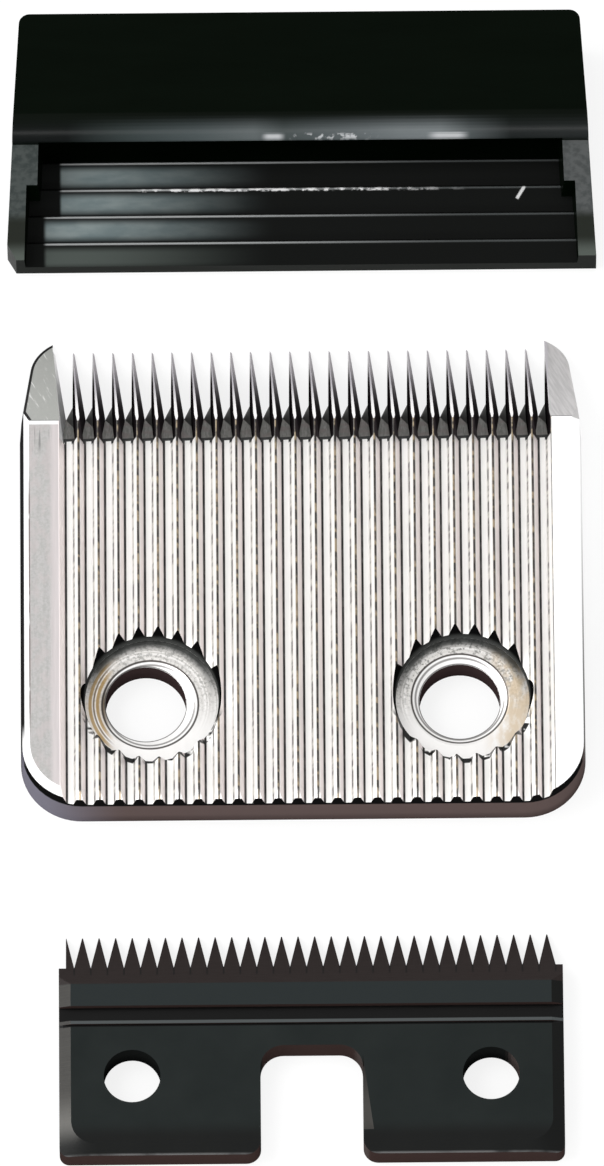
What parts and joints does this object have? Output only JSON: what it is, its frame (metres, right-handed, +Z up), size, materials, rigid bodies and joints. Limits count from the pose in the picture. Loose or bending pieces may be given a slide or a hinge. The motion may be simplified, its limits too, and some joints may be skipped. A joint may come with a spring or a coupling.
{
  "type": "hair clipper blade set",
  "caption": "Hair clipper blade set laid out in line: ribbed steel comb blade with screw seats, black toothed cutter with a drive notch, and a plastic tooth guard.",
  "frame": {"origin": "middle of the laid-out set's outline, on the surface that the three pieces lie on", "axes": "+X across the blades, +Y from the cutter's back edge towards the guard, the way the teeth point, +Z up out of the ribbed face"},
  "size_m": [0.0485, 0.0996, 0.0075],
  "materials": {
    "ground_steel": "ground steel, bright",
    "black_steel": "blackened steel, satin",
    "black_plastic": "moulded plastic, glossy"
  },
  "bodies": {
    "root": {"fixed_blade": "ground_steel", "cutter_blade": "black_steel", "blade_guard": "black_plastic"}
  },
  "joints": []
}
